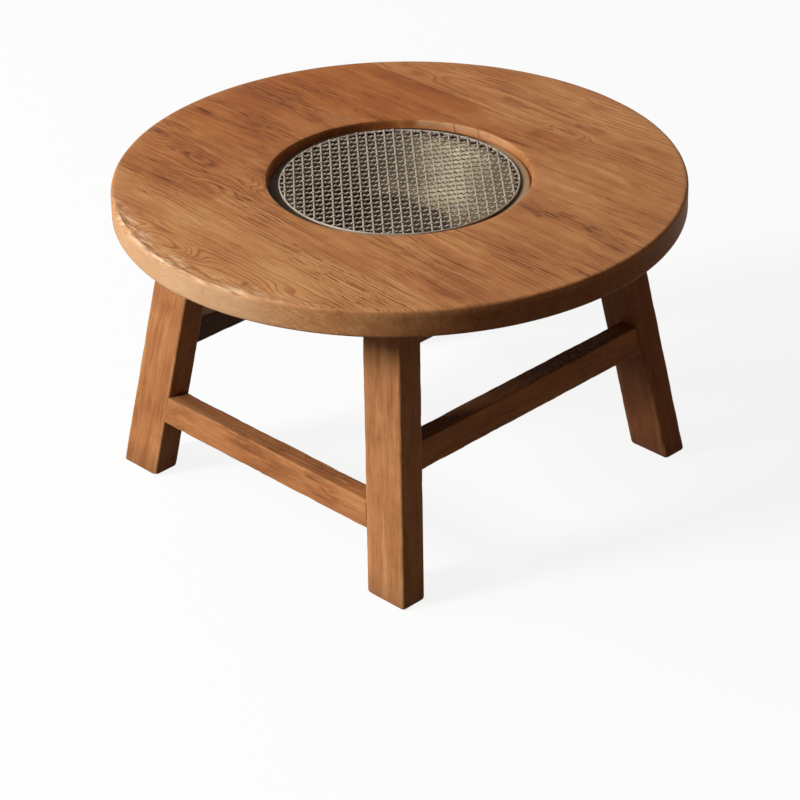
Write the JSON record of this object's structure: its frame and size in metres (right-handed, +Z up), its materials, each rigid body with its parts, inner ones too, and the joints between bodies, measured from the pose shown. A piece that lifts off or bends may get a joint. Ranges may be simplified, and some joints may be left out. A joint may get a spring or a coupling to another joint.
{
  "type": "hot pot table",
  "caption": "Low round wooden table on splayed legs with stretchers; a recess in the middle of the top holds a lift-out steel fire bowl under a loose woven wire grill.",
  "frame": {"origin": "on the floor under the middle of the round top", "axes": "+Z up, +X along the grain of the top and the front stretcher, +Y along the side stretchers"},
  "size_m": [0.8, 0.8, 0.452],
  "materials": {
    "top_wood": "reclaimed hardwood, oiled, worn smooth with open grain",
    "leg_wood": "reclaimed hardwood, oiled, edges eased by wear",
    "peg_wood": "turned hardwood pegs and dowels",
    "bowl_steel": "pressed stainless sheet, satin",
    "wire_steel": "crimped stainless wire",
    "screw_steel": "plated wood screws"
  },
  "bodies": {
    "table": {"top_board_front_edge": "top_wood", "top_board_front": "top_wood", "top_board_centre_left": "top_wood", "top_board_centre_right": "top_wood", "top_board_back": "top_wood", "top_board_back_edge": "top_wood", "board_dowel_01": "peg_wood", "board_dowel_02": "peg_wood", "board_dowel_03": "peg_wood", "board_dowel_04": "peg_wood", "board_dowel_05": "peg_wood", "board_dowel_06": "peg_wood", "board_dowel_07": "peg_wood", "board_dowel_08": "peg_wood", "board_dowel_09": "peg_wood", "board_dowel_10": "peg_wood", "board_dowel_11": "peg_wood", "board_dowel_12": "peg_wood", "batten_left": "leg_wood", "batten_right": "leg_wood", "batten_screw_left_1": "screw_steel", "batten_screw_left_2": "screw_steel", "batten_screw_left_3": "screw_steel", "batten_screw_left_4": "screw_steel", "batten_screw_right_1": "screw_steel", "batten_screw_right_2": "screw_steel", "batten_screw_right_3": "screw_steel", "batten_screw_right_4": "screw_steel", "leg_front_left": "leg_wood", "leg_front_right": "leg_wood", "leg_back_left": "leg_wood", "leg_back_right": "leg_wood", "leg_peg_front_left": "peg_wood", "leg_peg_front_right": "peg_wood", "leg_peg_back_left": "peg_wood", "leg_peg_back_right": "peg_wood", "stretcher_front": "leg_wood", "stretcher_back": "leg_wood", "stretcher_left": "leg_wood", "stretcher_right": "leg_wood", "end_stretcher_peg_front_left": "peg_wood", "end_stretcher_peg_front_right": "peg_wood", "end_stretcher_peg_back_left": "peg_wood", "end_stretcher_peg_back_right": "peg_wood", "side_stretcher_peg_front_left": "peg_wood", "side_stretcher_peg_front_right": "peg_wood", "side_stretcher_peg_back_left": "peg_wood", "side_stretcher_peg_back_right": "peg_wood"},
    "bowl": {"fire_bowl": "bowl_steel"},
    "grill": {"grill_rim": "wire_steel", "grill_net": "wire_steel"}
  },
  "joints": [
    {"name": "bowl_lift", "type": "slide", "parent": "table", "child": "bowl", "axis": [0, 0, 1], "range_m": [0, 0.15]},
    {"name": "grill_lift", "type": "slide", "parent": "bowl", "child": "grill", "axis": [0, 0, 1], "range_m": [0, 0.12]}
  ]
}
